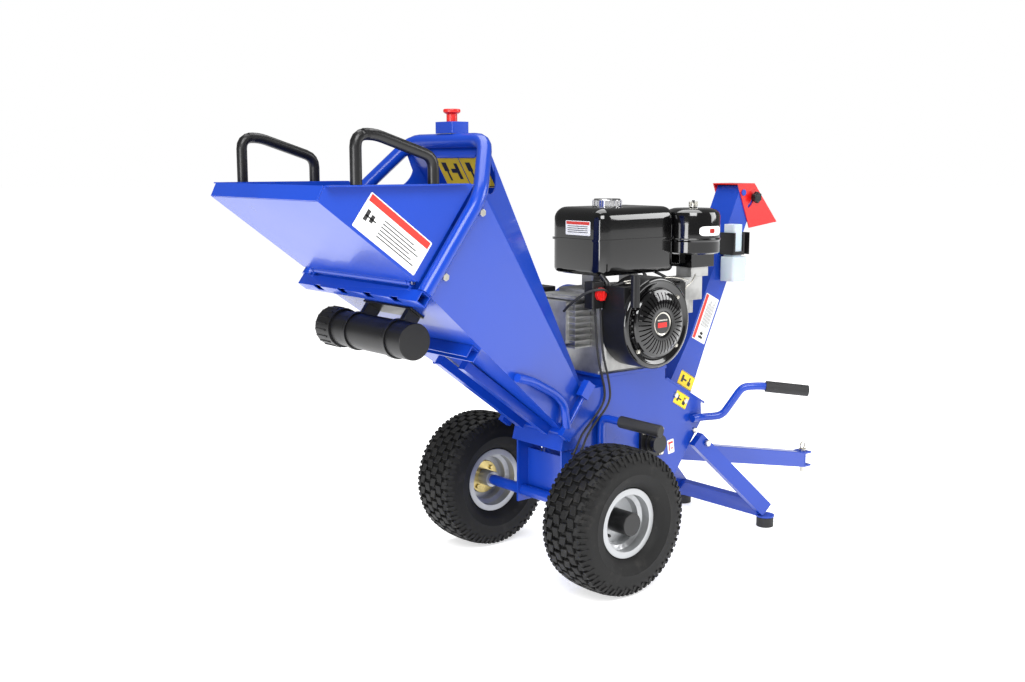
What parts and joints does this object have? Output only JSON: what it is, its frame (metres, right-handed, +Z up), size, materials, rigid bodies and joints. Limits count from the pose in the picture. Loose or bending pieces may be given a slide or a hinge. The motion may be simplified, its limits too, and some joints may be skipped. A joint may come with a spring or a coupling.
{
  "type": "wood chipper",
  "caption": "Towable wood chipper with a folding feed table, tapering chute, belt-driven rotor, petrol engine and a discharge tube with a tilting deflector.",
  "frame": {"origin": "middle of the bounding box in X and Y, on the ground", "axes": "+X from the feed table to the tow hitch, +Y away from the engine's starter side, +Z up"},
  "size_m": [1.958, 0.689, 1.2054],
  "materials": {
    "blue_paint": "gloss",
    "black_paint": "satin",
    "black_plastic": "matt",
    "gloss_black": "gloss",
    "tyre": "matt",
    "rubber": "matt",
    "silver_paint": "satin",
    "zinc": "satin",
    "engine_metal": "cast",
    "red_paint": "gloss",
    "red_plastic": "gloss",
    "bottle": "satin",
    "chrome_cap": "polished"
  },
  "bodies": {
    "chassis": {"side_plates": "blue_paint", "rotor_shell": "blue_paint", "engine_deck": "blue_paint", "anvil": "zinc", "rotor_bearings": "black_paint", "belt_guard": "blue_paint", "drive_belt": "rubber", "axle_beam": "blue_paint", "axle_bracket": "blue_paint", "feed_chute": "blue_paint", "hood_frame": "blue_paint", "mouth_crossbar": "blue_paint", "table_hinge_pin": "zinc", "stop_switch_box": "blue_paint", "manual_canister": "black_plastic", "canister_bracket": "black_paint", "chute_supports": "blue_paint", "inlet_flanges": "blue_paint", "discharge_tube": "blue_paint", "tow_bar": "blue_paint", "hitch_clevis": "blue_paint", "stand_frame": "blue_paint", "stand_feet": "rubber", "lift_handles": "blue_paint", "handle_grips": "rubber", "crankcase": "engine_metal", "cylinder_head": "engine_metal", "fan_shroud": "black_plastic", "recoil_cover": "black_paint", "fuel_tank": "gloss_black", "air_cleaner": "black_plastic", "carburettor": "engine_metal", "muffler": "black_paint", "control_panel": "black_plastic", "overflow_bottle": "bottle", "bottle_bracket": "black_paint", "control_cables": "rubber", "hex_bolts": "zinc"},
    "wheel_near": {"tyre_near": "tyre", "rim_near": "silver_paint", "hub_near": "black_paint"},
    "wheel_far": {"tyre_far": "tyre", "rim_far": "silver_paint", "hub_far": "black_paint"},
    "table": {"feed_table": "blue_paint", "table_handles": "black_paint"},
    "deflector": {"deflector": "red_paint"},
    "knob": {"deflector_knob": "black_plastic"},
    "stop_button": {"stop_button": "red_plastic"},
    "rotor": {"rotor_drum": "zinc", "rotor_knives": "zinc", "rotor_pulley": "zinc"},
    "crank": {"crank_pulley": "zinc"},
    "recoil": {"recoil_grip": "black_plastic"},
    "fuel_cap": {"fuel_cap": "chrome_cap"},
    "filter_nut": {"filter_nut": "zinc"},
    "canister_cap": {"canister_cap": "black_plastic"},
    "hitch_pin": {"hitch_pin": "zinc"},
    "ignition_knob": {"ignition_knob": "red_plastic"},
    "throttle_lever": {"throttle_lever": "black_plastic"}
  },
  "joints": [
    {"name": "wheel_near_spin", "type": "hinge", "parent": "chassis", "child": "wheel_near", "pos_m": [-0.161, -0.268, 0.188], "axis": [0, 1, 0], "continuous": true},
    {"name": "wheel_far_spin", "type": "hinge", "parent": "chassis", "child": "wheel_far", "pos_m": [-0.161, 0.268, 0.188], "axis": [0, 1, 0], "continuous": true},
    {"name": "table_fold", "type": "hinge", "parent": "chassis", "child": "table", "pos_m": [-0.72865, 0, 0.81818], "axis": [0, 1, 0], "range_deg": [-80, 0]},
    {"name": "deflector_tilt", "type": "hinge", "parent": "chassis", "child": "deflector", "pos_m": [0.56999, 0, 0.98954], "axis": [0, 1, 0], "range_deg": [-40, 8]},
    {"name": "knob_turn", "type": "hinge", "parent": "chassis", "child": "knob", "pos_m": [0.61628, -0.045, 0.97502], "axis": [0, 1, 0], "range_deg": [-90, 90]},
    {"name": "stop_press", "type": "slide", "parent": "chassis", "child": "stop_button", "axis": [0, 0, -1], "range_m": [0, 0.005], "stiffness_N_per_m": 600, "springref_m": -0.002},
    {"name": "rotor_spin", "type": "hinge", "parent": "chassis", "child": "rotor", "pos_m": [0.139, 0, 0.312], "axis": [0, 1, 0], "continuous": true},
    {"name": "crank_spin", "type": "hinge", "parent": "chassis", "child": "crank", "pos_m": [0.066, 0, 0.659], "axis": [0, 1, 0], "continuous": true},
    {"name": "recoil_pull", "type": "slide", "parent": "chassis", "child": "recoil", "axis": [0, -1, 0], "range_m": [0, 0.07], "stiffness_N_per_m": 150, "springref_m": -0.02},
    {"name": "fuel_cap_turn", "type": "hinge", "parent": "chassis", "child": "fuel_cap", "pos_m": [0.061, 0, 0.96], "axis": [0, 0, 1], "range_deg": [-90, 0]},
    {"name": "filter_nut_turn", "type": "hinge", "parent": "chassis", "child": "filter_nut", "pos_m": [0.296, -0.1, 0.955], "axis": [0, 0, 1], "range_deg": [-170, 170]},
    {"name": "canister_cap_turn", "type": "hinge", "parent": "chassis", "child": "canister_cap", "pos_m": [-0.68063, 0.18, 0.67512], "axis": [0, 1, 0], "range_deg": [-180, 0]},
    {"name": "hitch_pin_lift", "type": "slide", "parent": "chassis", "child": "hitch_pin", "axis": [0, 0, 1], "range_m": [0, 0.06]},
    {"name": "ignition_turn", "type": "hinge", "parent": "chassis", "child": "ignition_knob", "pos_m": [-0.0685, -0.11, 0.738], "axis": [0, 1, 0], "range_deg": [0, 45]},
    {"name": "throttle_turn", "type": "hinge", "parent": "chassis", "child": "throttle_lever", "pos_m": [0.169, -0.13, 0.76], "axis": [0, 0, 1], "range_deg": [-10, 35]}
  ],
  "couplings": [
    {"joint": "crank_spin", "follows": "rotor_spin", "ratio": 1.7}
  ]
}
